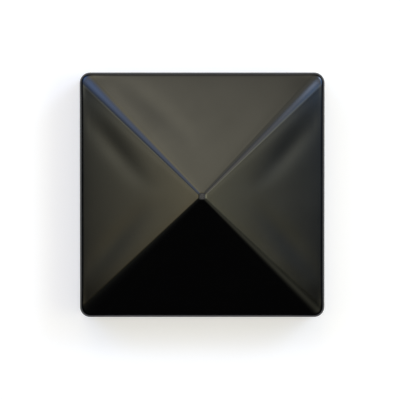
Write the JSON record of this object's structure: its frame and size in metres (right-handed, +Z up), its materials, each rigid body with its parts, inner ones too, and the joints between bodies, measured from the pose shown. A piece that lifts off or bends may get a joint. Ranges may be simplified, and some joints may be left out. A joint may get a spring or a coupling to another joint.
{
  "type": "post cap",
  "caption": "Square slip-on cap with a plain skirt and a low pyramid roof that covers and sheds water off the top of a square post.",
  "frame": {"origin": "centre of the open lower end, on the plane of the rim", "axes": "+Z up through the tip of the roof, +X and +Y square to two of the walls"},
  "size_m": [0.094, 0.094, 0.0413],
  "materials": {
    "black_coat": "semi-gloss black powder coat on sheet steel"
  },
  "bodies": {
    "root": {"pyramid_cap": "black_coat"}
  },
  "joints": []
}
